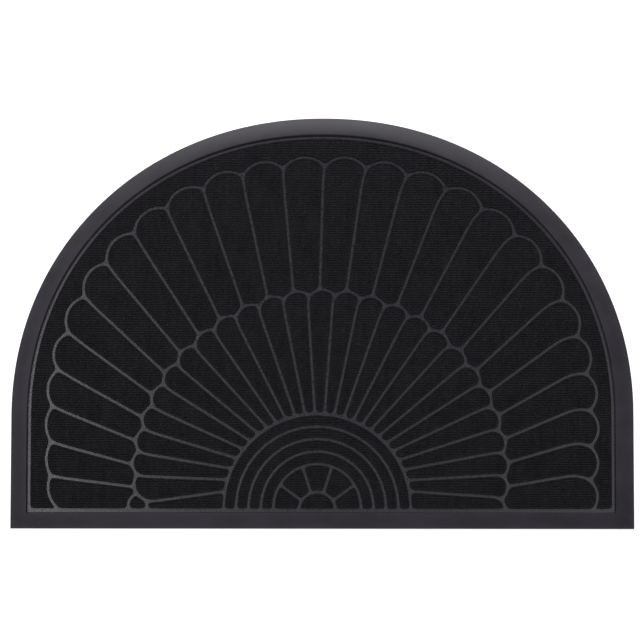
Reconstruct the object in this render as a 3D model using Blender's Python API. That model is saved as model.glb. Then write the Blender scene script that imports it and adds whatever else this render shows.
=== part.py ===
"""Half-round doormat: a moulded rubber base with a ramped border, and one pressed pile carpet in its tray.

The straight edge lies along X at the front and the crown is at the back (+Y). The underside is at Z = 0.
The carpet's pile is pressed flat along channels, which draw a fan of round-ended petals round a hub.
Sizes are metres and angles are degrees. Places on the mat are measured from the middle of the straight
edge, and the finished pieces are then moved so that the origin lies under the middle of the mat.
"""

from math import asin, copysign, cos, pi, radians, sin, sqrt

import bmesh
import bpy
from mathutils import Vector

# Overall size
WIDTH = 0.900
DEPTH = 0.596
SIDE_HEIGHT = 0.164  # the sides run straight this far before the arch starts
ARCH_FULLNESS = 2.07  # 2 is an ellipse, more is squarer
CROWN_LEAN = 0.005  # sideways lean of the arch for each metre of its rise
ARCH_STEPS = 60

# Rubber base, from the outer edge inwards
EDGE_HEIGHT = 0.0016
RAMP_WIDTH = 0.0241
CREST_HEIGHT = 0.0065
CREST_WIDTH = 0.0005
WALL_WIDTH = 0.0016
FLOOR_HEIGHT = 0.0030
TRAY_SHIFT = Vector((-0.0018, 0.0004))  # the tray lies this far off the outer edge's middle,
FRONT_REACH = 0.0020  # its straight edge this much further forwards,
FLOOR_SHIFT = Vector((0, -0.0010))  # and its floor this far off its crest
FOOT = 0.05  # nothing but the straight edge's corners lies this near the front

# Carpet
CLEARANCE = 0.0003  # below it
GAP = 0.0009  # round its edge
RIM_WIDTH = 0.0037  # pressed flat between the carpet's edge and its standing pile
PATTERN_SHIFT = Vector((0, 0.0010))  # the standing pile lies this far off the carpet's middle
PRESSED_TOP = 0.0052
PILE_TOP = 0.0080
PILE_ROOT = 0.0002  # how far the pile is sunk into the pressed sheet, so that they join
CHANNEL = 0.0038
CARPET_MARGIN = RAMP_WIDTH + CREST_WIDTH + WALL_WIDTH + GAP
FIELD_MARGIN = CARPET_MARGIN + RIM_WIDTH - CHANNEL / 2
SHIFTS = TRAY_SHIFT + FLOOR_SHIFT + PATTERN_SHIFT
FRONT = FIELD_MARGIN + SHIFTS.y - FRONT_REACH  # middle of the channel along the straight edge
NEAR_FRONT = 0.0010  # corners this close behind it are left out, as a patch's inset edge would cross itself there

# Fan. Junctions between petals lie on arches: half width, height of the straight sides, rise above
# them, fullness, lean, direction of the middle one, and the turn from each one to the next.
FAN_CENTRE = Vector((-0.00395, 0.0306))
PETALS = 26
OUTER_ARCH = dict(half=0.3891, side=0.1373, rise=0.3886, full=2.17, lean=0.0065, middle=89.56, turn=6.976)
INNER_ARCH = dict(half=0.2646, side=0.0735, rise=0.2643, full=2.00, lean=0.0059, middle=89.63, turn=6.958)
SWELL = 0.004  # the fan reaches this share further to its upper right, and less to its upper left
BULGE = 0.5  # height of a petal's round end over half its chord
CAP_STEPS = 6
LINE_START = 0.59  # how far round an inner petal's end the line above it starts
STEADY_HOOK = 0.0015  # every outer line ends hooked this far clockwise,
RIGHT_HOOK = 0.0095  # and this much further where it runs to the right
OUTER_REACH = 0.032  # length of the hooked end
INNER_HOOK = 0.003
INNER_REACH = 0.012
HOOK_STEPS = 3
HOOK_CONTROL = 0.4  # where in the reach the hook's control point lies, from the tip
# Near the two feet the fan departs from its rules, for the petals, lines and junctions with these counts.
FLATTER_BULGES = {23: 0.42, 24: 0.34, 25: 0.27, 26: 0.34}
LOWER_STARTS = {25: 0.42}
OUTER_DRAWN_IN = {26: (0.0120, 0)}
INNER_DRAWN_IN = {0: (-0.0050, 0), 1: (-0.0035, 0), 26: (0.0140, -0.0050)}
INNER_LEFT_FOOT = Vector((-0.2478, 0))
OUTER_LEFT_FOOT = Vector((-0.3543, 0))
GUSSET_START = 0.6  # how far round the last whole inner petal's end the gusset starts
GUSSET_SHOULDER = Vector((-0.2797, 0.0403))
GUSSET_FOOT = Vector((-0.2800, 0))

# Hub
HUB_CENTRE = Vector((-0.0075, 0.0307))
FIRST_ARC = 0.0633
ARC_SPACING = 0.01798
ARCS = 5
ARC_STEPS = 20
DISC_CENTRE = Vector((-0.0075, 0.0268))
DISC_RADIUS = 0.0267
SPOKE_CENTRE = Vector((-0.0075, 0.0247))
SECTORS = 5
FIRST_ANGLE = -4
LAST_ANGLE = 184
# Directions of the inner lines' inner ends, over the whole fan: closer together in its middle
INNER_LINE_MIDDLE = 88.5
INNER_LINE_SWING = 74.4
INNER_LINE_LEAN = 1.6
INNER_LINE_FLARE = 5.6

RUBBER = dict(colour=(0.035, 0.032, 0.042, 1), roughness=0.55, metallic=0.0)
PILE = dict(colour=(0.015, 0.014, 0.017, 1), roughness=0.95, metallic=0.0)


def mat_outline():
    """The mat's outer edge, anticlockwise from the right foot: straight sides and a squared-off arch."""
    points = [Vector((WIDTH / 2, 0))]
    for i in range(ARCH_STEPS + 1):
        across, up = cos(pi * i / ARCH_STEPS), max(0.0, sin(pi * i / ARCH_STEPS))
        rise = (DEPTH - SIDE_HEIGHT) * up ** (2 / ARCH_FULLNESS)
        reach = WIDTH / 2 * copysign(abs(across) ** (2 / ARCH_FULLNESS), across)
        points.append(Vector((reach + CROWN_LEAN * rise, SIDE_HEIGHT + rise)))
    return points + [Vector((-WIDTH / 2, 0))]


def inset(points, distance):
    """An anticlockwise outline moved inwards by distance, with its corners mitred."""
    moved = []
    for i, here in enumerate(points):
        ahead = (points[(i + 1) % len(points)] - here).normalized()
        behind = (here - points[i - 1]).normalized()
        inwards = Vector((-ahead.y - behind.y, ahead.x + behind.x)).normalized()
        moved.append(here + inwards * distance / inwards.dot(Vector((-ahead.y, ahead.x))))
    return moved


def tray_outline(margin):
    """An outline on the tray's floor, at a margin from the mat's outer edge but for the floor's shifts."""
    points = [point + TRAY_SHIFT + FLOOR_SHIFT for point in inset(mat_outline(), margin)]
    for corner in (points[0], points[-1]):
        corner.y -= FRONT_REACH
    return points


def cut_at_front(points):
    """The part of an outline behind the channel that runs along the straight edge."""
    kept = []
    for i, here in enumerate(points):
        before = points[i - 1]
        if (before.y < FRONT) != (here.y < FRONT):
            kept.append(before.lerp(here, (FRONT - before.y) / (here.y - before.y)))
        if here.y >= FRONT + NEAR_FRONT:
            kept.append(here)
    return kept


def direction(angle):
    return Vector((cos(radians(angle)), sin(radians(angle))))


def junction(arch, places):
    """Where the ray that is so many places anticlockwise of the fan's middle meets an arch."""
    ray = direction(arch["middle"] + arch["turn"] * places)
    near, far = 0.0, 2 * arch["half"]
    for _ in range(40):
        middle = (near + far) / 2
        across = abs(middle * ray.x) / arch["half"]
        up = max(0.0, FAN_CENTRE.y + middle * ray.y - arch["side"]) / arch["rise"]
        if across ** arch["full"] + up ** arch["full"] > 1:
            far = middle
        else:
            near = middle
    near *= 1 + SWELL * 2 * ray.x * ray.y
    return FAN_CENTRE + ray * near + Vector((arch["lean"] * near * ray.y, 0))


def outer_junction(k):
    return junction(OUTER_ARCH, k - PETALS / 2) + Vector(OUTER_DRAWN_IN.get(k, (0, 0)))


def inner_junction(k):
    return junction(INNER_ARCH, k - (PETALS + 1) / 2) + Vector(INNER_DRAWN_IN.get(k, (0, 0)))


def cap_point(right, left, fraction, bulge=BULGE):
    """A point on a petal's round end, which bulges outwards between its right and left junctions."""
    half = (left - right).length / 2
    radius = half * (1 + bulge**2) / (2 * bulge)
    along = (left - right).normalized()
    outwards = Vector((along.y, -along.x))
    centre = (right + left) / 2 - outwards * (radius - bulge * half)
    turn = asin(half / radius) * (2 * fraction - 1)
    return centre + (along * sin(turn) + outwards * cos(turn)) * radius


def inner_cap(k, first=0.0, last=1.0, steps=CAP_STEPS):
    """Points along inner petal k's round end, from one fraction of it to another."""
    ends = inner_junction(k), inner_junction(k + 1)
    return [cap_point(*ends, first + (last - first) * i / steps) for i in range(steps + 1)]


def outer_cap(k):
    ends = outer_junction(k - 1), outer_junction(k)
    bulge = FLATTER_BULGES.get(k, BULGE)
    return [cap_point(*ends, i / CAP_STEPS, bulge) for i in range(CAP_STEPS + 1)]


def hooked_line(start, end, hook, reach):
    """A straight line whose last stretch curves clockwise into its end."""
    straight = (end - start).normalized()
    aim = end + Vector((-straight.y, straight.x)) * hook
    along = (aim - start).normalized()
    bend, control = aim - along * reach, aim - along * reach * HOOK_CONTROL
    steps = [i / HOOK_STEPS for i in range(HOOK_STEPS + 1)]
    return [start] + [bend.lerp(control, t).lerp(control.lerp(end, t), t) for t in steps]


def line_start(k):
    """How far round inner petal k's end outer line k starts."""
    return LOWER_STARTS.get(k, LINE_START)


def outer_line(k):
    """The line between outer petals k and k + 1, from an inner petal's round end to a junction."""
    start = cap_point(inner_junction(k), inner_junction(k + 1), line_start(k))
    end = outer_junction(k)
    rightwards = max(0.0, (end - start).normalized().x)
    return hooked_line(start, end, STEADY_HOOK + RIGHT_HOOK * rightwards, OUTER_REACH)


def arc_radius(i):
    return FIRST_ARC + ARC_SPACING * i


def inner_line(k):
    """The line between inner petals k - 1 and k, from the hub's last arc to a junction."""
    start = HUB_CENTRE + direction(inner_line_angle(k)) * arc_radius(ARCS - 1)
    return hooked_line(start, inner_junction(k), INNER_HOOK, INNER_REACH)


def inner_line_angle(k):
    """Direction from the hub's centre of inner line k's start."""
    place = (2 * k - PETALS - 1) / (PETALS - 1)
    swing = INNER_LINE_SWING + place * (INNER_LINE_LEAN + place * INNER_LINE_FLARE)
    return INNER_LINE_MIDDLE + place * swing


def outer_petal(k):
    """Outline of whole outer petal k, counted from 1 at the right foot."""
    root_left = inner_cap(k, line_start(k), 0.0, CAP_STEPS // 2)
    root_right = inner_cap(k - 1, 1.0, line_start(k - 1), CAP_STEPS // 2)
    sides = outer_line(k - 1) + outer_cap(k)[1:-1] + outer_line(k)[::-1]
    return sides + root_left[1:] + root_right[1:-1]


def inner_petal(k):
    """Outline of whole inner petal k, counted from 1 at the right foot."""
    middle = (inner_line_angle(k) + inner_line_angle(k + 1)) / 2
    root = HUB_CENTRE + direction(middle) * arc_radius(ARCS - 1)
    return inner_line(k) + inner_cap(k)[1:-1] + inner_line(k + 1)[::-1] + [root]


def foot_petals():
    """Outlines of the petals that the straight edge cuts off, and of the gusset between two of them."""
    right_root = HUB_CENTRE + direction(FIRST_ANGLE) * arc_radius(ARCS - 1)
    left_root = HUB_CENTRE + direction(LAST_ANGLE) * arc_radius(ARCS - 1)
    gusset_top = inner_cap(PETALS - 1, 1.0, GUSSET_START, CAP_STEPS // 2)
    right_petal = outer_cap(1)[:-1] + outer_line(1)[::-1] + inner_cap(1, line_start(1), 0.0)[1:]
    left_petal = outer_line(PETALS - 1) + outer_cap(PETALS)[1:-1]
    return [
        [right_root] + inner_cap(0)[:-1] + inner_line(1)[::-1],
        right_petal + inner_cap(0)[-2::-1],
        left_petal + [OUTER_LEFT_FOOT, GUSSET_FOOT, GUSSET_SHOULDER, gusset_top[-1]],
        [INNER_LEFT_FOOT] + gusset_top + [GUSSET_SHOULDER, GUSSET_FOOT],
        inner_line(PETALS) + [INNER_LEFT_FOOT, left_root],
    ]


def on_circle(angle, centre, radius):
    """Where the ray at an angle from the spokes' centre meets a circle of the hub."""
    ray = direction(angle)
    offset = SPOKE_CENTRE - centre
    along = offset.dot(ray)
    return SPOKE_CENTRE + ray * (sqrt(along**2 - offset.dot(offset) + radius**2) - along)


def hub_ring(first, last, inner, outer, steps):
    """Outline of the part of the hub between two angles and two circles, each (centre, radius)."""
    angles = [first + (last - first) * i / steps for i in range(steps + 1)]
    outside = [on_circle(angle, *outer) for angle in angles]
    return outside + [on_circle(angle, *inner) for angle in reversed(angles)]


def hub_cells():
    """Outlines of the bands between the hub's arcs, the sectors inside them and the middle disc."""
    arcs = [(HUB_CENTRE, arc_radius(i)) for i in range(ARCS)]
    disc = (DISC_CENTRE, DISC_RADIUS)
    cells = [hub_ring(FIRST_ANGLE, LAST_ANGLE, *pair, ARC_STEPS) for pair in zip(arcs, arcs[1:])]
    spokes = [180 * i / SECTORS for i in range(1, SECTORS)]
    angles = [FIRST_ANGLE, *spokes, LAST_ANGLE]
    cells += [hub_ring(a, b, disc, arcs[0], ARC_STEPS // SECTORS) for a, b in zip(angles, angles[1:])]
    steps = range(ARC_STEPS // 2 + 1)
    turn = 2 * (LAST_ANGLE - FIRST_ANGLE) / ARC_STEPS
    cells.append([on_circle(FIRST_ANGLE + turn * i, *disc) for i in steps])
    return cells


def plain_field():
    """Outline of the plain band between the carpet's rim and the outer petals' round ends."""
    edge = [point + PATTERN_SHIFT for point in tray_outline(FIELD_MARGIN)]
    edge[0].y = edge[-1].y = 0
    ends = [point for k in range(1, PETALS + 1) for point in outer_cap(k)[:-1]]
    return edge + [OUTER_LEFT_FOOT] + ends[::-1]


def standing_pile():
    """Outlines of every patch of standing pile, each half a channel inside its lines."""
    cells = [plain_field(), *foot_petals(), *hub_cells()]
    cells += [outer_petal(k) for k in range(2, PETALS)]
    cells += [inner_petal(k) for k in range(1, PETALS)]
    return [inset(cut_at_front(cell), CHANNEL / 2) for cell in cells]


def material(name, look):
    made = bpy.data.materials.new(name)
    made.use_nodes = True
    shader = made.node_tree.nodes["Principled BSDF"]
    shader.inputs["Base Color"].default_value = look["colour"]
    shader.inputs["Roughness"].default_value = look["roughness"]
    shader.inputs["Metallic"].default_value = look["metallic"]
    return made


def place(piece, collection):
    """Move a piece so that the origin is under the middle of the mat, and link it."""
    piece.location.y = -DEPTH / 2
    collection.objects.link(piece)
    return piece


def slab(name, outlines, bottom, top, collection):
    """A flat-topped solid, or several, over closed outlines."""
    curve = bpy.data.curves.new(name, "CURVE")
    curve.dimensions = "2D"
    curve.fill_mode = "BOTH"
    curve.extrude = (top - bottom) / 2
    for outline in outlines:
        spline = curve.splines.new("POLY")
        spline.points.add(len(outline) - 1)
        for point, place_on_mat in zip(spline.points, outline):
            point.co = (*place_on_mat, 0, 1)
        spline.use_cyclic_u = True
    drawn = bpy.data.objects.new(name + "_outline", curve)
    bpy.context.scene.collection.objects.link(drawn)
    evaluated = drawn.evaluated_get(bpy.context.evaluated_depsgraph_get())
    mesh = bpy.data.meshes.new_from_object(evaluated)
    bpy.data.objects.remove(drawn)
    bm = bmesh.new()
    bm.from_mesh(mesh)
    bmesh.ops.remove_doubles(bm, verts=bm.verts, dist=1e-6)
    bmesh.ops.translate(bm, verts=bm.verts, vec=(0, 0, (top + bottom) / 2))
    bmesh.ops.recalc_face_normals(bm, faces=bm.faces)
    bm.to_mesh(mesh)
    bm.free()
    return place(bpy.data.objects.new(name, mesh), collection)


def rubber_base(collection):
    """The tray: a thin outer edge, a ramp up to the crest, and a wall down to the floor."""
    base = slab("rubber_base", [mat_outline()], 0, EDGE_HEIGHT, collection)
    bm = bmesh.new()
    bm.from_mesh(base.data)
    top = [face for face in bm.faces if face.normal.z > 0.5]
    steps = [
        (RAMP_WIDTH, (*TRAY_SHIFT, CREST_HEIGHT - EDGE_HEIGHT), FRONT_REACH),
        (CREST_WIDTH, (0, 0, 0), 0),
        (WALL_WIDTH, (*FLOOR_SHIFT, FLOOR_HEIGHT - CREST_HEIGHT), 0),
    ]
    for width, move, reach in steps:
        bmesh.ops.inset_region(bm, faces=top, thickness=width, use_even_offset=True)
        corners = {vert for face in top for vert in face.verts}
        bmesh.ops.translate(bm, verts=list(corners), vec=move)
        at_front = [vert for vert in corners if vert.co.y < FOOT]
        bmesh.ops.translate(bm, verts=at_front, vec=(0, -reach, 0))
    bm.to_mesh(base.data)
    bm.free()
    base.data.materials.append(material("rubber", RUBBER))
    return base


def carpet(collection, cutters):
    """The pressed sheet, joined with the patches of pile that stand on it."""
    bottom = FLOOR_HEIGHT + CLEARANCE
    sheet = slab("carpet", [tray_outline(CARPET_MARGIN)], bottom, PRESSED_TOP, collection)
    pile = slab("pile_patches", standing_pile(), PRESSED_TOP - PILE_ROOT, PILE_TOP, cutters)
    pile.hide_render = True
    pile.display_type = "WIRE"
    join = sheet.modifiers.new("stand the pile on the sheet", "BOOLEAN")
    join.operation = "UNION"
    join.solver = "EXACT"
    join.object = pile
    sheet.data.materials.append(material("pile", PILE))
    return sheet


def new_collection(name):
    made = bpy.data.collections.new(name)
    bpy.context.scene.collection.children.link(made)
    return made


def main():
    for left_over in list(bpy.data.objects):
        bpy.data.objects.remove(left_over)
    doormat = new_collection("doormat")
    cutters = new_collection("doormat cutters")
    rubber_base(doormat)
    carpet(doormat, cutters)


main()
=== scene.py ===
"""Half-round doormat: the finished look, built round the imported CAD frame.

The mat lies on the floor with its straight edge at the front, along X. Its carpet's pile is pressed
flat along channels, which draw a fan of round-ended petals round a hub. Sizes are metres and angles
are degrees. Places on the mat are measured from the middle of its straight edge, and each outline is
moved forwards by half the mat's depth when its mesh is made.
"""

import random
from math import asin, copysign, cos, pi, radians, sin, sqrt

import bpy
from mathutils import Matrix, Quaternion, Vector


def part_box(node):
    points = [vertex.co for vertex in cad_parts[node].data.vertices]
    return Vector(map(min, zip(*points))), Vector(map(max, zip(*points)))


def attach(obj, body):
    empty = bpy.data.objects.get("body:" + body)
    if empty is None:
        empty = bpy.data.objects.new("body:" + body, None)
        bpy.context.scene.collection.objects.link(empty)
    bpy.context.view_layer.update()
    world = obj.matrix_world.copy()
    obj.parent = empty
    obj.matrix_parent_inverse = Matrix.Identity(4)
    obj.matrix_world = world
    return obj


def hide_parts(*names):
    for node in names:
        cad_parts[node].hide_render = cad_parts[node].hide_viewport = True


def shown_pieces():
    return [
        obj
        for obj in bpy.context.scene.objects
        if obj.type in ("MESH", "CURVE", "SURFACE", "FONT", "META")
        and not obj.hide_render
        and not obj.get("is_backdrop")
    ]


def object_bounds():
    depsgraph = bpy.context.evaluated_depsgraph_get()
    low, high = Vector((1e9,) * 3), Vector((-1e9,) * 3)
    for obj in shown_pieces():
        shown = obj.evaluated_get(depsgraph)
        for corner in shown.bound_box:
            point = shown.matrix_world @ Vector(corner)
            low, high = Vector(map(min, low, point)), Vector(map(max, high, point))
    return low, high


bl_info = {
    "name": "Half-Round Doormat",
    "version": (1, 0, 0),
    "blender": (4, 5, 0),
    "location": "3D View > Sidebar > Doormat",
    "description": "Rubber doormat with a fan of petals pressed into its pile",
    "category": "Add Mesh",
}

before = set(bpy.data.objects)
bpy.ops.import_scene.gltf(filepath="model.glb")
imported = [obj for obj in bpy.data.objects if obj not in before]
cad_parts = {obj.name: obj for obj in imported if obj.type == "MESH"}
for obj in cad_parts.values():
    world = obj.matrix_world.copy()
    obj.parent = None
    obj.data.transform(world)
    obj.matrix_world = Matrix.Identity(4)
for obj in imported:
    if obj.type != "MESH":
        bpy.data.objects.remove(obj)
cad_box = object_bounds()

WIDTH = cad_box[1].x - cad_box[0].x
DEPTH = cad_box[1].y - cad_box[0].y

# Outline of the mat
SIDE_HEIGHT = 0.164  # the sides run straight this far before the arch starts
ARCH_FULLNESS = 2.07  # 2 is an ellipse, more is squarer
CROWN_LEAN = 0.005  # sideways lean of the arch for each metre of its rise
ARCH_STEPS = 180

# Section through the border, from the outer edge inwards
EDGE_ROUND = 0.0006
CORNER_STEPS = 3
RAMP_STEPS = 6
RAMP_BULGE = 1.5  # 1 is a straight ramp, more is rounder
CREST_WIDTH = 0.0005
CREST_DROP = 0.0001  # the crest's inner half lies this much lower
WALL_WIDTH = 0.0016
TRAY_SHIFT = Vector((-0.0018, 0.0004))  # the tray lies this far off the outer edge's middle,
FRONT_REACH = 0.0020  # its straight edge this much further forwards,
FLOOR_SHIFT = Vector((0, -0.0010))  # and its floor this far off its crest
FOOT = 0.05  # nothing but the straight edge's corners lies this near the front
TOUCHING = 0.0001  # corners this close to the outer edge stay on it
CLEARANCE = 0.0003  # below the carpet
GAP = 0.0009  # round the carpet's edge
SHEET_TRIM = 0.0003  # the carpet is cut this much smaller all round than its tray allows,
SHEET_SLIP = Vector((0, -0.0013))  # and has slid this far forwards in it
SHEET_ROUND = 0.00015
RIM_WIDTH = 0.0037  # pressed flat between the carpet's edge and its standing pile
PATTERN_SHIFT = Vector((0, 0.0010))  # the standing pile lies this far off the carpet's middle

# Grip pattern underneath
GRIP_SPACING = 0.006
GRIP_HEIGHT = 0.0005

# Fan. Junctions between petals lie on arches: half width, height of the straight sides, rise above
# them, fullness, lean, direction of the middle one, and the turn from each one to the next.
FAN_CENTRE = Vector((-0.00395, 0.0306))
PETALS = 26
HALVINGS = 40  # of the distance in which a junction is searched for
OUTER_ARCH = {
    "half": 0.3891,
    "side": 0.1373,
    "rise": 0.3886,
    "full": 2.17,
    "lean": 0.0065,
    "middle": 89.56,
    "turn": 6.976,
}
INNER_ARCH = {
    "half": 0.2646,
    "side": 0.0735,
    "rise": 0.2643,
    "full": 2.00,
    "lean": 0.0059,
    "middle": 89.63,
    "turn": 6.958,
}
BULGE = 0.5  # height of a petal's round end over half its chord
CAP_STEPS = 6
SWELL = 0.004  # the fan reaches this share further to its upper right, and less to its upper left
LINE_START = 0.59  # how far round an inner petal's end the line above it starts
STEADY_HOOK = 0.0015  # every outer line ends hooked this far clockwise,
RIGHT_HOOK = 0.0095  # and this much further where it runs to the right
OUTER_REACH = 0.032  # length of the hooked end
INNER_HOOK = 0.003
INNER_REACH = 0.012
HOOK_STEPS = 3
HOOK_CONTROL = 0.4  # where in the reach the hook's control point lies, from the tip
NEAR_FRONT = 0.0010  # corners this close behind the front channel are left out
# Near its two feet the fan departs from its rules, at these petals, lines and junctions, which are
# counted from the right foot.
FLATTER_BULGES = {23: 0.42, 24: 0.34, 25: 0.27, 26: 0.34}
LOWER_STARTS = {25: 0.42}
OUTER_DRAWN_IN = {26: (0.0120, 0)}
INNER_DRAWN_IN = {0: (-0.0050, 0), 1: (-0.0035, 0), 26: (0.0140, -0.0050)}
INNER_LEFT_FOOT = Vector((-0.2478, 0))
OUTER_LEFT_FOOT = Vector((-0.3543, 0))
GUSSET_START = 0.6  # how far round the last whole inner petal's end the gusset starts
GUSSET_SHOULDER = Vector((-0.2797, 0.0403))
GUSSET_FOOT = Vector((-0.2800, 0))

# Hub
HUB_CENTRE = Vector((-0.0075, 0.0307))
FIRST_ARC = 0.0633
ARC_SPACING = 0.01798
ARCS = 5
ARC_STEPS = 20
DISC_CENTRE = Vector((-0.0075, 0.0268))
DISC_RADIUS = 0.0267
SPOKE_CENTRE = Vector((-0.0075, 0.0247))
SECTORS = 5
FIRST_ANGLE = -4
LAST_ANGLE = 184
# Directions of the inner lines' inner ends, over the whole fan: closer together in its middle
INNER_LINE_MIDDLE = 88.5
INNER_LINE_SWING = 74.4
INNER_LINE_LEAN = 1.6
INNER_LINE_FLARE = 5.6

# Patches of standing pile
OUTLINE_SPACING = 0.0012
FEWEST_CORNERS = 12
SOFTENING = 24  # passes of smoothing, which round a patch's corners,
HUB_SOFTENING = 10  # and fewer in the hub
STRAIGHT_ENOUGH = 4  # a corner that turns less is left out,
LONGEST_SIDE = 0.015  # unless its side would get longer than this
PILE_ROOT = 0.0002  # sunk into the pressed sheet
BODY_BELOW_TOP = 0.0014  # the closed body of a patch ends this far below its tufts' tips
SHOULDER = [(0.0002, 0.0004), (0.0004, 0.0002)]  # steps inwards and up round a patch's top

# Tufts. Leans are radians. The narrowest, widest and shortest are shares of the full size.
TUFT_SIDES = 5
TUFT_FOOT = 0.00125
TUFT_WAIST = 0.00160
TUFT_SUNK = 0.0004
TUFT_WANDER = 0.00018  # off its place in the grid
TUFT_LEAN = 0.20
TUFT_SHORTEST = 0.82
NARROWEST = 0.92
WIDEST = 1.08
EDGE_SPACING = 0.0027  # tufts in a row round each patch
EDGE_INSET = 0.0015
EDGE_LEAN = 0.05
EDGE_SHORTEST = 0.9
EDGE_CLEAR = 0.0023  # no other tufts stand this near a patch's edge
CRUSHED_SIDES = 5
CRUSHED_LEAN = 0.01
CRUSHED_SHORTEST = 0.8
CRUSHED_RADIUS = 0.00140
CRUSHED_RISE = 0.00005
CRUSHED_SUNK = 0.00003
LEVEL_ENOUGH = 0.00005  # a surface this far below a height still counts as being at it
GRID_SEED = 12
TURN_SEED = 3
SIZE_SEED = 8

# Edges that turn by less than this are smoothed
BASE_SMOOTH = 35
SHEET_SMOOTH = 30
PATCH_SMOOTH = 60
TUFT_SMOOTH = 180
CRUSHED_SMOOTH = 30

# Stage. The lens is millimetres, and the lamps' power is watts.
CAMERA_PLACE = Vector((-0.00365, -0.1872, 3.1943))
CAMERA_AIM = Vector((-0.00365, 0.0037, 0))
CAMERA_ROLL = 0.06
CAMERA_LENS = 124.08
CAMERA_SENSOR = 36
FLOOR_SIZE = 40
FLOOR_DROP = 0.0001
FLOOR_GLOW = 0.70  # keeps the floor white under lamps that are dim enough for a black mat
SKY_TOP = 0.07
SKY_EDGE = 0.40
LAMPS = {
    "lamp_crown": dict(place=(-0.04, 2.57, 2.3), size=(1.8, 0.55), power=72),
    "lamp_left": dict(place=(-0.85, -0.12, 2.2), size=(1.0, 0.4), power=5.9),
    "lamp_right": dict(place=(0.80, -0.20, 2.2), size=(1.0, 0.4), power=1.6),
    "lamp_front": dict(place=(0.1, -0.40, 2.2), size=(1.4, 0.4), power=0.8),
}


class DoormatSizes(bpy.types.PropertyGroup):
    """Sizes that a user would change"""

    ramp_width: bpy.props.FloatProperty(
        name="Ramp width",
        description="Width of the rubber border's slope",
        default=0.0241,
        min=0.005,
        max=0.05,
        subtype="DISTANCE",
        unit="LENGTH",
    )
    edge_height: bpy.props.FloatProperty(
        name="Edge height",
        description="Thickness of the rubber at its outer edge",
        default=0.0016,
        min=0.0008,
        max=0.004,
        subtype="DISTANCE",
        unit="LENGTH",
    )
    crest_height: bpy.props.FloatProperty(
        name="Crest height",
        description="Height of the rubber border's highest line",
        default=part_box("rubber_base")[1].z,
        min=0.004,
        max=0.012,
        subtype="DISTANCE",
        unit="LENGTH",
    )
    tray_floor: bpy.props.FloatProperty(
        name="Tray floor",
        description="Thickness of the rubber under the carpet",
        default=0.0030,
        min=0.001,
        max=0.006,
        subtype="DISTANCE",
        unit="LENGTH",
    )
    pressed_top: bpy.props.FloatProperty(
        name="Pressed top",
        description="Height of the carpet where its pile is pressed flat",
        default=0.0052,
        min=0.004,
        max=0.008,
        subtype="DISTANCE",
        unit="LENGTH",
    )
    pile_top: bpy.props.FloatProperty(
        name="Pile top",
        description="Height of the standing pile's tips",
        default=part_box("carpet")[1].z,
        min=0.006,
        max=0.02,
        subtype="DISTANCE",
        unit="LENGTH",
    )
    channel_width: bpy.props.FloatProperty(
        name="Channel width",
        description="Width of the lines that are pressed into the pile",
        default=0.0038,
        min=0.002,
        max=0.006,
        subtype="DISTANCE",
        unit="LENGTH",
    )
    tuft_across: bpy.props.FloatProperty(
        name="Tufts across",
        description="Distance from one column of tufts to the next",
        default=0.00316,
        min=0.002,
        max=0.006,
        subtype="DISTANCE",
        unit="LENGTH",
    )
    tuft_along: bpy.props.FloatProperty(
        name="Tufts along",
        description="Distance from one row of tufts to the next",
        default=0.00355,
        min=0.002,
        max=0.006,
        subtype="DISTANCE",
        unit="LENGTH",
    )


class DoormatColours(bpy.types.PropertyGroup):
    """Colours that a user would change"""

    rubber: bpy.props.FloatVectorProperty(
        name="Rubber",
        description="Colour of the moulded rubber",
        default=(0.035, 0.0315, 0.0415),
        min=0,
        max=1,
        subtype="COLOR",
    )
    pile: bpy.props.FloatVectorProperty(
        name="Pile",
        description="Colour of the standing pile",
        default=(0.0138, 0.0126, 0.0160),
        min=0,
        max=1,
        subtype="COLOR",
    )
    pressed: bpy.props.FloatVectorProperty(
        name="Pressed pile",
        description="Colour of the pile where it is pressed flat",
        default=(0.0292, 0.0263, 0.0362),
        min=0,
        max=1,
        subtype="COLOR",
    )
    floor: bpy.props.FloatVectorProperty(
        name="Floor",
        description="Colour of the studio floor",
        default=(0.90, 0.90, 0.90),
        min=0,
        max=1,
        subtype="COLOR",
    )


def sizes():
    return bpy.context.scene.doormat_sizes


def colours():
    return bpy.context.scene.doormat_colours


# Outlines


def mat_outline():
    """The mat's outer edge, anticlockwise from its right foot: straight sides and a fuller arch."""
    points = [Vector((WIDTH / 2, 0))]
    for i in range(ARCH_STEPS + 1):
        across = cos(pi * i / ARCH_STEPS)
        up = max(0.0, sin(pi * i / ARCH_STEPS))
        rise = (DEPTH - SIDE_HEIGHT) * up ** (2 / ARCH_FULLNESS)
        reach = WIDTH / 2 * copysign(abs(across) ** (2 / ARCH_FULLNESS), across)
        points.append(Vector((reach + CROWN_LEAN * rise, SIDE_HEIGHT + rise)))
    return points + [Vector((-WIDTH / 2, 0))]


def inset(points, distance):
    """An anticlockwise outline moved inwards by distance, with its corners mitred."""
    moved = []
    for i, here in enumerate(points):
        ahead = (points[(i + 1) % len(points)] - here).normalized()
        behind = (here - points[i - 1]).normalized()
        inwards = Vector((-ahead.y - behind.y, ahead.x + behind.x)).normalized()
        moved.append(here + inwards * distance / inwards.dot(Vector((-ahead.y, ahead.x))))
    return moved


def tray_outline(margin):
    """An outline on the tray's floor, a margin inside the outer edge but for the tray's shifts."""
    points = [point + TRAY_SHIFT + FLOOR_SHIFT for point in inset(mat_outline(), margin)]
    for corner in (points[0], points[-1]):
        corner.y -= FRONT_REACH
    return points


def carpet_margin():
    return sizes().ramp_width + CREST_WIDTH + WALL_WIDTH + GAP


def front_channel():
    """How far behind the straight edge the channel along it runs."""
    edge = tray_outline(carpet_margin() + RIM_WIDTH)[0] + PATTERN_SHIFT
    return edge.y - sizes().channel_width / 2


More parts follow.
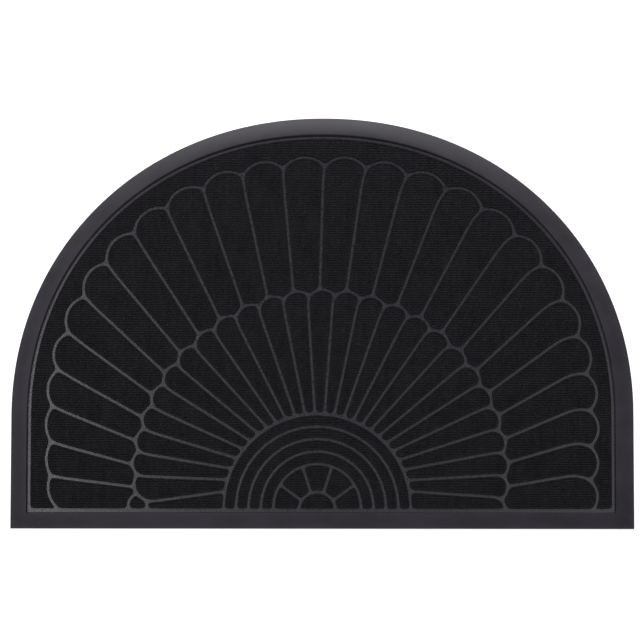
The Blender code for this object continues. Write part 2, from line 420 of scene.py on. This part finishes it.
def cut_at_front(points):
    """The part of an outline behind the channel that runs along the straight edge."""
    front = front_channel()
    kept = []
    for i, here in enumerate(points):
        before = points[i - 1]
        if (before.y < front) != (here.y < front):
            kept.append(before.lerp(here, (front - before.y) / (here.y - before.y)))
        if here.y >= front + NEAR_FRONT:
            kept.append(here)
    return kept


def direction(angle):
    return Vector((cos(radians(angle)), sin(radians(angle))))


def junction(arch, places):
    """Where the ray that is so many places anticlockwise of the fan's middle meets an arch."""
    ray = direction(arch["middle"] + arch["turn"] * places)
    near = 0.0
    far = 2 * arch["half"]
    for _ in range(HALVINGS):
        middle = (near + far) / 2
        across = abs(middle * ray.x) / arch["half"]
        up = max(0.0, FAN_CENTRE.y + middle * ray.y - arch["side"]) / arch["rise"]
        if across ** arch["full"] + up ** arch["full"] > 1:
            far = middle
        else:
            near = middle
    near *= 1 + SWELL * 2 * ray.x * ray.y
    return FAN_CENTRE + ray * near + Vector((arch["lean"] * near * ray.y, 0))


def outer_junction(k):
    return junction(OUTER_ARCH, k - PETALS / 2) + Vector(OUTER_DRAWN_IN.get(k, (0, 0)))


def inner_junction(k):
    return junction(INNER_ARCH, k - (PETALS + 1) / 2) + Vector(INNER_DRAWN_IN.get(k, (0, 0)))


def cap_point(right, left, fraction, bulge=BULGE):
    """A point on a petal's round end, which bulges outwards between its right and left junctions."""
    half = (left - right).length / 2
    radius = half * (1 + bulge**2) / (2 * bulge)
    along = (left - right).normalized()
    outwards = Vector((along.y, -along.x))
    centre = (right + left) / 2 - outwards * (radius - bulge * half)
    turn = asin(half / radius) * (2 * fraction - 1)
    return centre + (along * sin(turn) + outwards * cos(turn)) * radius


def inner_cap(k, first=0.0, last=1.0, steps=CAP_STEPS):
    """Points along inner petal k's round end, from one fraction of it to another."""
    ends = inner_junction(k), inner_junction(k + 1)
    return [cap_point(*ends, first + (last - first) * i / steps) for i in range(steps + 1)]


def outer_cap(k):
    ends = outer_junction(k - 1), outer_junction(k)
    bulge = FLATTER_BULGES.get(k, BULGE)
    return [cap_point(*ends, i / CAP_STEPS, bulge) for i in range(CAP_STEPS + 1)]


def hooked_line(start, end, hook, reach):
    """A straight line whose last stretch curves clockwise into its end."""
    straight = (end - start).normalized()
    aim = end + Vector((-straight.y, straight.x)) * hook
    along = (aim - start).normalized()
    bend = aim - along * reach
    control = aim - along * reach * HOOK_CONTROL
    steps = [i / HOOK_STEPS for i in range(HOOK_STEPS + 1)]
    return [start] + [bend.lerp(control, t).lerp(control.lerp(end, t), t) for t in steps]


def line_start(k):
    """How far round inner petal k's end outer line k starts."""
    return LOWER_STARTS.get(k, LINE_START)


def outer_line(k):
    """The line between outer petals k and k + 1, from an inner petal's round end to a junction."""
    start = cap_point(inner_junction(k), inner_junction(k + 1), line_start(k))
    end = outer_junction(k)
    rightwards = max(0.0, (end - start).normalized().x)
    return hooked_line(start, end, STEADY_HOOK + RIGHT_HOOK * rightwards, OUTER_REACH)


def arc_radius(i):
    return FIRST_ARC + ARC_SPACING * i


def inner_line_angle(k):
    """Direction from the hub's centre of inner line k's start."""
    place = (2 * k - PETALS - 1) / (PETALS - 1)
    swing = INNER_LINE_SWING + place * (INNER_LINE_LEAN + place * INNER_LINE_FLARE)
    return INNER_LINE_MIDDLE + place * swing


def inner_line(k):
    """The line between inner petals k - 1 and k, from the hub's last arc to a junction."""
    start = HUB_CENTRE + direction(inner_line_angle(k)) * arc_radius(ARCS - 1)
    return hooked_line(start, inner_junction(k), INNER_HOOK, INNER_REACH)


def outer_petal(k):
    """Outline of whole outer petal k, counted from 1 at the right foot."""
    root_left = inner_cap(k, line_start(k), 0.0, CAP_STEPS // 2)
    root_right = inner_cap(k - 1, 1.0, line_start(k - 1), CAP_STEPS // 2)
    sides = outer_line(k - 1) + outer_cap(k)[1:-1] + outer_line(k)[::-1]
    return sides + root_left[1:] + root_right[1:-1]


def inner_petal(k):
    """Outline of whole inner petal k, counted from 1 at the right foot."""
    middle = (inner_line_angle(k) + inner_line_angle(k + 1)) / 2
    root = HUB_CENTRE + direction(middle) * arc_radius(ARCS - 1)
    return inner_line(k) + inner_cap(k)[1:-1] + inner_line(k + 1)[::-1] + [root]


def foot_petals():
    """Outlines of the petals that the straight edge cuts off, and of the gusset between two of them."""
    right_root = HUB_CENTRE + direction(FIRST_ANGLE) * arc_radius(ARCS - 1)
    left_root = HUB_CENTRE + direction(LAST_ANGLE) * arc_radius(ARCS - 1)
    gusset_top = inner_cap(PETALS - 1, 1.0, GUSSET_START, CAP_STEPS // 2)
    right_petal = outer_cap(1)[:-1] + outer_line(1)[::-1] + inner_cap(1, line_start(1), 0.0)[1:]
    left_petal = outer_line(PETALS - 1) + outer_cap(PETALS)[1:-1]
    return [
        [right_root] + inner_cap(0)[:-1] + inner_line(1)[::-1],
        right_petal + inner_cap(0)[-2::-1],
        left_petal + [OUTER_LEFT_FOOT, GUSSET_FOOT, GUSSET_SHOULDER, gusset_top[-1]],
        [INNER_LEFT_FOOT] + gusset_top + [GUSSET_SHOULDER, GUSSET_FOOT],
        inner_line(PETALS) + [INNER_LEFT_FOOT, left_root],
    ]


def on_circle(angle, centre, radius):
    """Where the ray at an angle from the spokes' centre meets a circle of the hub."""
    ray = direction(angle)
    offset = SPOKE_CENTRE - centre
    along = offset.dot(ray)
    return SPOKE_CENTRE + ray * (sqrt(along**2 - offset.dot(offset) + radius**2) - along)


def hub_ring(first, last, inner, outer, steps):
    """Outline of the part of the hub between two angles and two circles, each (centre, radius)."""
    angles = [first + (last - first) * i / steps for i in range(steps + 1)]
    outside = [on_circle(angle, *outer) for angle in angles]
    return outside + [on_circle(angle, *inner) for angle in reversed(angles)]


def hub_cells():
    """Outlines of the bands between the hub's arcs, the sectors inside them and the middle disc."""
    arcs = [(HUB_CENTRE, arc_radius(i)) for i in range(ARCS)]
    disc = (DISC_CENTRE, DISC_RADIUS)
    cells = [hub_ring(FIRST_ANGLE, LAST_ANGLE, *pair, ARC_STEPS) for pair in zip(arcs, arcs[1:])]
    spokes = [180 * i / SECTORS for i in range(1, SECTORS)]
    angles = [FIRST_ANGLE, *spokes, LAST_ANGLE]
    cells += [hub_ring(a, b, disc, arcs[0], ARC_STEPS // SECTORS) for a, b in zip(angles, angles[1:])]
    steps = range(ARC_STEPS // 2 + 1)
    turn = 2 * (LAST_ANGLE - FIRST_ANGLE) / ARC_STEPS
    cells.append([on_circle(FIRST_ANGLE + turn * i, *disc) for i in steps])
    return cells


def plain_field():
    """Outline of the plain band between the carpet's rim and the outer petals' round ends."""
    margin = carpet_margin() + RIM_WIDTH - sizes().channel_width / 2
    edge = [point + PATTERN_SHIFT for point in tray_outline(margin)]
    edge[0].y = edge[-1].y = 0
    ends = [point for k in range(1, PETALS + 1) for point in outer_cap(k)[:-1]]
    return edge + [OUTER_LEFT_FOOT] + ends[::-1]


def resampled(points, spacing):
    """A closed outline with its corners spaced evenly along it."""
    ends = points[1:] + points[:1]
    sides = [(b - a).length for a, b in zip(points, ends)]
    count = max(FEWEST_CORNERS, round(sum(sides) / spacing))
    spacing = sum(sides) / count
    made = []
    side = 0
    passed = 0.0
    for i in range(count):
        while spacing * i > passed + sides[side]:
            passed += sides[side]
            side += 1
        made.append(points[side].lerp(ends[side], (spacing * i - passed) / sides[side]))
    return made


def softened(points, passes):
    """A closed outline with rounded corners, and with few points where it runs nearly straight."""
    points = resampled(points, OUTLINE_SPACING)
    for _ in range(passes):
        after = points[1:] + points[:1]
        before = points[-1:] + points[:-1]
        points = [(a + b) / 4 + here / 2 for a, here, b in zip(before, points, after)]
    kept = [points[0]]
    heading = points[1] - points[0]
    for here, ahead in zip(points[1:], points[2:] + points[:1]):
        turned = abs(heading.angle_signed(ahead - here))
        if turned > radians(STRAIGHT_ENOUGH) or (here - kept[-1]).length > LONGEST_SIDE:
            kept.append(here)
            heading = ahead - here
    return kept


def patch_outlines(cells, passes):
    """Outlines of patches of standing pile: half a channel inside their lines, with soft corners."""
    return [softened(inset(cut_at_front(cell), sizes().channel_width / 2), passes) for cell in cells]


# Modelling


def deselect_all():
    bpy.ops.object.select_all(action="DESELECT")


def flat_faces(name, outlines, height):
    """An object with one flat face over each closed outline. Each starts as a filled circle."""
    made = []
    for outline in outlines:
        deselect_all()
        bpy.ops.mesh.primitive_circle_add(vertices=len(outline), fill_type="NGON")
        face = bpy.context.object
        for corner, place in zip(face.data.vertices, outline):
            corner.co = (place.x, place.y - DEPTH / 2, height)
        made.append(face)
    for face in made:
        face.select_set(True)
    if len(made) > 1:
        bpy.ops.object.join()
    made = bpy.context.object
    made.name = name
    made.data.name = name
    bpy.ops.object.transform_apply()
    return made


def start_solid(height):
    """Raises the flat piece just made into a solid, in edit mode, and leaves its top selected."""
    bpy.ops.object.mode_set(mode="EDIT")
    bpy.ops.mesh.select_mode(type="FACE")
    bpy.ops.mesh.select_all(action="SELECT")
    bpy.ops.mesh.extrude_region_move(TRANSFORM_OT_translate={"value": (0, 0, height)})


def step_in(inwards, rise, shift=(0, 0)):
    """Insets the selected faces, then lifts and shifts what is inside."""
    bpy.ops.mesh.inset(thickness=inwards, depth=0, use_even_offset=True)
    bpy.ops.transform.translate(value=(*shift, rise))


def close_solid(smooth_angle):
    """Turns all faces outwards, goes back to object mode and smooths what isn't a sharp edge."""
    bpy.ops.mesh.select_all(action="SELECT")
    bpy.ops.mesh.normals_make_consistent(inside=False)
    bpy.ops.object.mode_set(mode="OBJECT")
    bpy.ops.object.shade_smooth_by_angle(angle=radians(smooth_angle))


def rounded_corner(radius, steps):
    """Steps inwards and up round a quarter circle, from a wall to a flat top."""
    turns = [radians(90 * i / steps) for i in range(steps + 1)]
    return [
        (radius * (cos(a) - cos(b)), radius * (sin(b) - sin(a)))
        for a, b in zip(turns, turns[1:])
    ]


def ramp_steps():
    """Steps inwards and up the border's slope, which is steepest at its outer edge."""
    rise = sizes().crest_height - sizes().edge_height
    width = sizes().ramp_width - EDGE_ROUND
    shares = [i / RAMP_STEPS for i in range(RAMP_STEPS + 1)]
    heights = [rise * (1 - (1 - share) ** RAMP_BULGE) for share in shares]
    return [(width / RAMP_STEPS, b - a) for a, b in zip(heights, heights[1:])]


def own_mesh(piece, name):
    piece.name = name
    piece.data.name = name
    return piece


# Materials


class Wire:
    """A value inside a material. Arithmetic on it adds Math nodes."""

    def __init__(self, finish, socket):
        self.finish = finish
        self.socket = socket

    def maths(self, operation, first, second):
        return self.finish.node("ShaderNodeMath", {"operation": operation}, {0: first, 1: second})

    def __add__(self, other):
        return self.maths("ADD", self, other)

    def __mul__(self, other):
        return self.maths("MULTIPLY", self, other)

    __radd__ = __add__
    __rmul__ = __mul__


class Finish:
    """A material's or a world's nodes, and one way to add any node to them."""

    def __init__(self, owner, shader, constants):
        owner.use_nodes = True
        self.owner = owner
        self.tree = owner.node_tree
        self.shader = self.tree.nodes[shader]
        for socket, value in constants.items():
            self.set(socket, value)

    def feed(self, socket, value):
        if isinstance(value, Wire):
            self.tree.links.new(value.socket, socket)
        else:
            socket.default_value = value

    def set(self, socket, value):
        """Feeds one of the shader's own sockets."""
        self.feed(self.shader.inputs[socket], value)

    def node(self, kind, settings, inputs, output=0):
        made = self.tree.nodes.new(kind)
        for setting, value in settings.items():
            setattr(made, setting, value)
        for socket, value in inputs.items():
            self.feed(made.inputs[socket], value)
        return Wire(self, made.outputs[output])

    def place(self, stretch=(1, 1, 1)):
        """Where on the piece a point is, in metres, with each axis stretched by so much."""
        where = self.node("ShaderNodeTexCoord", {}, {}, "Object")
        return self.node("ShaderNodeMapping", {}, {"Vector": where, "Scale": stretch})

    def noise(self, where, size, detail=2, roughness=0.5):
        """Cloudy noise around 0.5 with features of about that size."""
        inputs = {"Vector": where, "Scale": 1 / size, "Detail": detail, "Roughness": roughness}
        return self.node("ShaderNodeTexNoise", {}, inputs)

    def spots(self, where, size):
        """Distance from the nearest of many scattered points, in units of that size."""
        return self.node("ShaderNodeTexVoronoi", {}, {"Vector": where, "Scale": 1 / size}, "Distance")

    def fit(self, value, low, high, new_low, new_high):
        """The value with one range mapped to another, and held inside it."""
        inputs = {0: value, 1: low, 2: high, 3: new_low, 4: new_high}
        return self.node("ShaderNodeMapRange", {}, inputs)

    def tint(self, colour, darkest, lightest, share):
        """The base colour, from one multiple of a colour, at share 0, to another, at 1."""
        inputs = {0: share, 6: (*shaded(colour, darkest), 1), 7: (*shaded(colour, lightest), 1)}
        mixed = self.node("ShaderNodeMix", {"data_type": "RGBA"}, inputs, 2)
        self.set("Base Color", mixed)

    def relief(self, height):
        """Surface relief from heights in metres."""
        bump = self.node("ShaderNodeBump", {}, {"Strength": 1.0, "Distance": 1.0, "Height": height})
        self.set("Normal", bump)


def surface(name, constants):
    return Finish(bpy.data.materials.new(name), "Principled BSDF", constants)


def shaded(colour, share):
    return tuple(channel * share for channel in colour)


def rubber_finish():
    """Matt moulded rubber: cloudy and finely pebbled, with a painted highlight that lightens its low
    outer slope.
    """
    finish = surface("rubber_moulded", {"Specular IOR Level": 0.38})
    where = finish.place()
    clouds = finish.noise(where, size=0.045, detail=4, roughness=0.6)
    waves = finish.noise(where, size=0.012)
    grain = finish.noise(where, size=0.0011, detail=3, roughness=0.6)
    pebbles = finish.spots(where, size=0.0009)
    height = finish.node("ShaderNodeSeparateXYZ", {}, {"Vector": where}, "Z")
    # Painted highlight: the colour is lightened where the rubber lies low, along the border's outer
    # slope and edge.
    outer_painted_highlight = finish.fit(height, 0.0016, 0.0045, 0.45, 0.0)
    tone = finish.fit(clouds + grain * 0.35, 0.45, 0.9, 0.0, 0.55)
    finish.tint(colours().rubber, 0.78, 1.60, tone + outer_painted_highlight)
    finish.set("Roughness", finish.fit(clouds + grain * 0.5, 0.4, 1.1, 0.43, 0.56))
    finish.relief(pebbles * 0.00005 + grain * 0.00003 + waves * 0.00012)
    return finish.owner


def underside_finish():
    """The underside's rubber: dusty, and moulded with a small square grip pattern."""
    finish = surface("rubber_underside", {"Specular IOR Level": 0.4, "Roughness": 0.7})
    where = finish.place()
    grid = {"Vector": where, "Scale": 1 / GRIP_SPACING, "Randomness": 0.0}
    squares = finish.node("ShaderNodeTexVoronoi", {"distance": "CHEBYCHEV"}, grid, "Distance")
    ribs = finish.fit(squares, 0.36, 0.44, 0.0, 1.0)
    clouds = finish.noise(where, size=0.06, detail=4, roughness=0.6)
    grain = finish.noise(where, size=0.0008, detail=3, roughness=0.6)
    dust = finish.fit(clouds + ribs * 0.25, 0.4, 0.95, 0.0, 1.0)
    finish.tint(colours().rubber, 0.85, 1.5, dust)
    finish.relief(ribs * GRIP_HEIGHT + grain * 0.00004)
    return finish.owner


def pile_finish():
    """Coarse cut pile: matt fibres, with tufts that differ a little in tone."""
    constants = {
        "Roughness": 0.92,
        "Specular IOR Level": 0.16,
        "Sheen Weight": 0.12,
        "Sheen Roughness": 0.45,
        "Sheen Tint": (0.8, 0.8, 0.85, 1),
    }
    finish = surface("pile_fibre", constants)
    where = finish.place()
    upright = finish.place((1, 1, 0.35))
    along = finish.place((1, 0.12, 1))
    tufts = finish.noise(where, size=0.0042, detail=2, roughness=0.6)
    fibres = finish.noise(upright, size=0.00035, detail=2, roughness=0.6)
    streaks = finish.noise(along, size=0.0065, detail=3, roughness=0.6)
    patches = finish.noise(where, size=0.022, detail=3, roughness=0.6)
    uneven = tufts + streaks * 0.8 + fibres * 0.5 + patches * 0.7
    finish.tint(colours().pile, 0.5, 1.5, finish.fit(uneven, 1.15, 1.9, 0.0, 1.0))
    finish.relief(fibres * 0.00022)
    return finish.owner


def pressed_finish():
    """Pile that was pressed flat under heat: greyer and smoother, with its tufts still showing."""
    finish = surface("pile_pressed", {"Specular IOR Level": 0.7})
    where = finish.place()
    crushed = finish.noise(where, size=0.0030, detail=3, roughness=0.65)
    fibres = finish.noise(where, size=0.0005, detail=2, roughness=0.6)
    tone = finish.fit(crushed + fibres * 0.4, 0.55, 0.85, 0.0, 1.0)
    finish.tint(colours().pressed, 0.75, 1.25, tone)
    finish.set("Roughness", finish.fit(crushed, 0.35, 0.65, 0.24, 0.36))
    finish.relief(crushed * 0.00010 + fibres * 0.00002)
    return finish.owner


def studio_sky():
    """Soft light from all round, brightest near the horizon."""
    finish = Finish(bpy.data.worlds.new("studio"), "Background", {"Color": (1, 1, 1, 1)})
    way = finish.node("ShaderNodeTexCoord", {}, {}, "Generated")
    up = finish.node("ShaderNodeSeparateXYZ", {}, {"Vector": way}, "Z")
    finish.set("Strength", finish.fit(up, 0.25, 0.85, SKY_EDGE, SKY_TOP))
    return finish.owner


def floor_finish():
    glow = {"Emission Color": (1, 1, 1, 1), "Emission Strength": FLOOR_GLOW}
    finish = surface("floor_paper", {"Roughness": 0.85, "Specular IOR Level": 0.2, **glow})
    where = finish.place()
    finish.tint(colours().floor, 0.99, 1.01, finish.noise(where, size=0.4, detail=3))
    finish.relief(finish.noise(where, size=0.002) * 0.00003)
    return finish.owner


# Tufts


def tuft(name, sides, foot, waist, height, smooth_angle, material):
    """One tuft, standing on the origin: a foot that widens to a waist, and a tip."""
    deselect_all()
    bpy.ops.mesh.primitive_cylinder_add(
        vertices=sides, radius=foot, depth=height / 2, location=(0, 0, height / 4), end_fill_type="NGON"
    )
    piece = own_mesh(bpy.context.object, name)
    bpy.ops.object.transform_apply()
    bpy.ops.object.mode_set(mode="EDIT")
    bpy.ops.mesh.select_all(action="DESELECT")
    bpy.ops.object.mode_set(mode="OBJECT")
    for face in piece.data.polygons:
        face.select = face.normal.z > 0.5
    bpy.ops.object.mode_set(mode="EDIT")
    bpy.ops.mesh.select_mode(type="FACE")
    bpy.ops.transform.resize(value=(waist / foot, waist / foot, 1))
    bpy.ops.mesh.extrude_region_move(TRANSFORM_OT_translate={"value": (0, 0, height / 2)})
    bpy.ops.mesh.merge(type="CENTER")
    bpy.ops.object.mode_set(mode="OBJECT")
    bpy.ops.object.shade_smooth_by_angle(angle=radians(smooth_angle))
    piece.data.materials.append(material)
    return piece


def scatter_tree(one, lean, shortest):
    """Geometry nodes that stand a copy of one tuft on every point, each turned and sized at random."""
    tree = bpy.data.node_groups.new("scatter_" + one.name, "GeometryNodeTree")
    tree.interface.new_socket("Geometry", in_out="INPUT", socket_type="NodeSocketGeometry")
    tree.interface.new_socket("Geometry", in_out="OUTPUT", socket_type="NodeSocketGeometry")
    start = tree.nodes.new("NodeGroupInput")
    end = tree.nodes.new("NodeGroupOutput")
    source = tree.nodes.new("GeometryNodeObjectInfo")
    source.inputs["Object"].default_value = one
    place = tree.nodes.new("GeometryNodeInstanceOnPoints")
    turn = tree.nodes.new("FunctionNodeRandomValue")
    turn.data_type = "FLOAT_VECTOR"
    turn.inputs["Min"].default_value = (-lean, -lean, 0)
    turn.inputs["Max"].default_value = (lean, lean, 2 * pi)
    turn.inputs["Seed"].default_value = TURN_SEED
    size = tree.nodes.new("FunctionNodeRandomValue")
    size.data_type = "FLOAT_VECTOR"
    size.inputs["Min"].default_value = (NARROWEST, NARROWEST, shortest)
    size.inputs["Max"].default_value = (WIDEST, WIDEST, 1)
    size.inputs["Seed"].default_value = SIZE_SEED
    real = tree.nodes.new("GeometryNodeRealizeInstances")
    link = tree.links.new
    link(start.outputs[0], place.inputs["Points"])
    link(source.outputs["Geometry"], place.inputs["Instance"])
    link(turn.outputs["Value"], place.inputs["Rotation"])
    link(size.outputs["Value"], place.inputs["Scale"])
    link(place.outputs["Instances"], real.inputs["Geometry"])
    link(real.outputs["Geometry"], end.inputs[0])
    return tree


def scattered(name, one, places, lean, shortest):
    """An object with a copy of one tuft standing at each place."""
    mesh = bpy.data.meshes.new(name)
    mesh.from_pydata(places, [], [])
    made = bpy.data.objects.new(name, mesh)
    bpy.context.collection.objects.link(made)
    deselect_all()
    made.select_set(True)
    bpy.context.view_layer.objects.active = made
    scatter = made.modifiers.new("scatter tufts", "NODES")
    scatter.node_group = scatter_tree(one, lean, shortest)
    bpy.ops.object.modifier_apply(modifier=scatter.name)
    return made


def tuft_grid():
    """Every place of the carpet's tuft grid, each moved a little at random."""
    rng = random.Random(GRID_SEED)
    columns = int(WIDTH / sizes().tuft_across)
    rows = int(DEPTH / sizes().tuft_along)
    made = []
    for row in range(rows):
        for column in range(columns):
            x = (column - columns / 2) * sizes().tuft_across + rng.gauss(0, TUFT_WANDER)
            y = (row - rows / 2) * sizes().tuft_along + rng.gauss(0, TUFT_WANDER)
            made.append((x, y))
    return made


def top_under(piece, place):
    """Height of a piece's upper surface at a place, or None beside it."""
    found, point, _, _ = piece.ray_cast(Vector((*place, 1)), Vector((0, 0, -1)))
    return point.z if found else None


def stands(piece, place, level):
    """Whether a piece's top is that high all round a place."""
    sides = ((0, 0), (EDGE_CLEAR, 0), (-EDGE_CLEAR, 0), (0, EDGE_CLEAR), (0, -EDGE_CLEAR))
    for x, y in sides:
        height = top_under(piece, (place[0] + x, place[1] + y))
        if height is None or height < level - LEVEL_ENOUGH:
            return False
    return True


def join_to_first(pieces):
    deselect_all()
    for piece in pieces:
        piece.select_set(True)
    bpy.context.view_layer.objects.active = pieces[0]
    bpy.ops.object.join()


# Operators, one for each piece or group of like pieces


class DOORMAT_OT_rubber_base(bpy.types.Operator):
    """Moulded rubber tray with a ramped border"""

    bl_idname = "doormat.rubber_base"
    bl_label = "Rubber Base"

    def execute(self, context):
        base = flat_faces("rubber_base_moulded", [mat_outline()], 0)
        start_solid(sizes().edge_height - EDGE_ROUND)
        for inwards, rise in rounded_corner(EDGE_ROUND, CORNER_STEPS):
            step_in(inwards, rise)
        for inwards, rise in ramp_steps():
            step_in(inwards, rise, TRAY_SHIFT / RAMP_STEPS)
        step_in(CREST_WIDTH / 2, 0)
        step_in(CREST_WIDTH / 2, -CREST_DROP)
        step_in(WALL_WIDTH, sizes().tray_floor - sizes().crest_height + CREST_DROP, FLOOR_SHIFT)
        close_solid(BASE_SMOOTH)
        slope_width = sizes().ramp_width - EDGE_ROUND
        for corner in base.data.vertices:
            behind = corner.co.y + DEPTH / 2 - EDGE_ROUND
            if TOUCHING < behind < FOOT:
                corner.co.y -= FRONT_REACH * min(1, behind / slope_width)
        base.data.materials.append(rubber_finish())
        base.data.materials.append(underside_finish())
        for face in base.data.polygons:
            face.material_index = int(face.normal.z < -0.5)
        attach(base, "root")
        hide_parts("rubber_base")
        return {"FINISHED"}


class DOORMAT_OT_pressed_sheet(bpy.types.Operator):
    """Carpet sheet in the tray, with its pile pressed flat"""

    bl_idname = "doormat.pressed_sheet"
    bl_label = "Pressed Sheet"

    def execute(self, context):
        bottom = sizes().tray_floor + CLEARANCE
        margin = carpet_margin() + SHEET_TRIM
        outline = [point + SHEET_SLIP for point in tray_outline(margin)]
        sheet = flat_faces("carpet_sheet", [outline], bottom)
        start_solid(sizes().pressed_top - bottom - SHEET_ROUND)
        for inwards, rise in rounded_corner(SHEET_ROUND, 1):
            step_in(inwards, rise)
        close_solid(SHEET_SMOOTH)
        sheet.data.materials.append(pressed_finish())
        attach(sheet, "root")
        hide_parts("carpet")
        return {"FINISHED"}


class DOORMAT_OT_standing_pile(bpy.types.Operator):
    """Patches of standing pile between the channels, each closed body set with tufts"""

    bl_idname = "doormat.standing_pile"
    bl_label = "Standing Pile"

    def execute(self, context):
        finish = pile_finish()
        feet = foot_petals()
        half = PETALS // 2
        groups = {
            "pile_field": [plain_field()],
            "pile_hub": hub_cells(),
            "pile_inner_petals": [feet[0], feet[4]] + [inner_petal(k) for k in range(1, PETALS)],
            "pile_outer_petals_right": [feet[1]] + [outer_petal(k) for k in range(2, half + 1)],
            "pile_outer_petals_left": feet[2:4] + [outer_petal(k) for k in range(half + 1, PETALS)],
        }
        body_top = sizes().pile_top - BODY_BELOW_TOP
        bottom = sizes().pressed_top - PILE_ROOT
        shoulder_rise = sum(rise for _, rise in SHOULDER)
        foot_height = body_top - TUFT_SUNK
        tuft_height = sizes().pile_top - foot_height
        one = tuft("tuft", TUFT_SIDES, TUFT_FOOT, TUFT_WAIST, tuft_height, TUFT_SMOOTH, finish)
        for name, cells in groups.items():
            passes = HUB_SOFTENING if name == "pile_hub" else SOFTENING
            outlines = patch_outlines(cells, passes)
            patches = flat_faces(name, outlines, bottom)
            start_solid(body_top - bottom - shoulder_rise)
            for inwards, rise in SHOULDER:
                step_in(inwards, rise)
            close_solid(PATCH_SMOOTH)
            patches.data.materials.append(finish)
            inner = []
            for place in tuft_grid():
                if stands(patches, place, body_top):
                    inner.append((*place, foot_height))
            edge = []
            for outline in outlines:
                for point in resampled(inset(outline, EDGE_INSET), EDGE_SPACING):
                    edge.append((point.x, point.y - DEPTH / 2, foot_height))
            tufts = scattered(name + "_tufts", one, inner, TUFT_LEAN, TUFT_SHORTEST)
            row = scattered(name + "_edge", one, edge, EDGE_LEAN, EDGE_SHORTEST)
            join_to_first([patches, tufts, row])
            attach(patches, "root")
        bpy.data.objects.remove(one)
        return {"FINISHED"}


class DOORMAT_OT_crushed_tufts(bpy.types.Operator):
    """Tufts crushed flat along the channels"""

    bl_idname = "doormat.crushed_tufts"
    bl_label = "Crushed Tufts"

    def execute(self, context):
        sheet = bpy.data.objects["carpet_sheet"]
        pile = [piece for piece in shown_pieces() if piece.name.startswith("pile_")]
        level = sizes().pressed_top
        bare = []
        for place in tuft_grid():
            height = top_under(sheet, place)
            on_sheet = height is not None and height > level - LEVEL_ENOUGH
            if on_sheet and all(top_under(piece, place) is None for piece in pile):
                bare.append((*place, level - CRUSHED_SUNK))
        rise = CRUSHED_RISE + CRUSHED_SUNK
        material = sheet.data.materials[0]
        radius = CRUSHED_RADIUS
        one = tuft("crushed", CRUSHED_SIDES, radius, radius, rise, CRUSHED_SMOOTH, material)
        crushed = scattered("crushed_tufts", one, bare, CRUSHED_LEAN, CRUSHED_SHORTEST)
        bpy.data.objects.remove(one)
        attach(crushed, "root")
        return {"FINISHED"}


class DOORMAT_OT_stage(bpy.types.Operator):
    """Pale floor, soft lamps and the camera"""

    bl_idname = "doormat.stage"
    bl_label = "Stage"

    def execute(self, context):
        deselect_all()
        bpy.ops.mesh.primitive_plane_add(size=FLOOR_SIZE, location=(0, 0, -FLOOR_DROP))
        floor = own_mesh(context.object, "floor")
        bpy.ops.object.transform_apply()
        floor.data.materials.append(floor_finish())
        floor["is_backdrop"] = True
        context.scene.world = studio_sky()
        for name, lamp in LAMPS.items():
            bpy.ops.object.light_add(type="AREA", location=lamp["place"])
            made = context.object
            made.name = name
            made.data.shape = "RECTANGLE"
            made.data.size, made.data.size_y = lamp["size"]
            made.data.energy = lamp["power"]
            made.rotation_euler = Vector(lamp["place"]).to_track_quat("Z", "Y").to_euler()
        bpy.ops.object.camera_add(location=CAMERA_PLACE)
        camera = context.object
        turned = (CAMERA_PLACE - CAMERA_AIM).to_track_quat("Z", "Y")
        camera.rotation_euler = (turned @ Quaternion((0, 0, 1), radians(CAMERA_ROLL))).to_euler()
        camera.data.lens = CAMERA_LENS
        camera.data.sensor_width = CAMERA_SENSOR
        context.scene.camera = camera
        context.scene.view_settings.view_transform = "Standard"
        return {"FINISHED"}


OPERATORS = [
    DOORMAT_OT_rubber_base,
    DOORMAT_OT_pressed_sheet,
    DOORMAT_OT_standing_pile,
    DOORMAT_OT_crushed_tufts,
    DOORMAT_OT_stage,
]


class DOORMAT_PT_sidebar(bpy.types.Panel):
    bl_label = "Half-Round Doormat"
    bl_idname = "DOORMAT_PT_sidebar"
    bl_space_type = "VIEW_3D"
    bl_region_type = "UI"
    bl_category = "Doormat"

    def draw(self, context):
        for group in (context.scene.doormat_sizes, context.scene.doormat_colours):
            box = self.layout.box()
            for name in group.bl_rna.properties.keys():
                if name not in ("rna_type", "name"):
                    box.prop(group, name)
        for operator in OPERATORS:
            self.layout.operator(operator.bl_idname)


CLASSES = [DoormatSizes, DoormatColours, *OPERATORS, DOORMAT_PT_sidebar]


def register():
    for each in CLASSES:
        bpy.utils.register_class(each)
    bpy.types.Scene.doormat_sizes = bpy.props.PointerProperty(type=DoormatSizes)
    bpy.types.Scene.doormat_colours = bpy.props.PointerProperty(type=DoormatColours)


def unregister():
    del bpy.types.Scene.doormat_colours
    del bpy.types.Scene.doormat_sizes
    for each in reversed(CLASSES):
        bpy.utils.unregister_class(each)


def carpet_area():
    """Flat area of the carpet's cut, inside its outline."""
    outline = tray_outline(carpet_margin())
    return sum(a.cross(b) for a, b in zip(outline, outline[1:] + outline[:1])) / 2


def main():
    register()
    for operator in OPERATORS:
        group, name = operator.bl_idname.split(".")
        getattr(getattr(bpy.ops, group), name)()
    carpet_area()


if __name__ == "__main__":
    main()
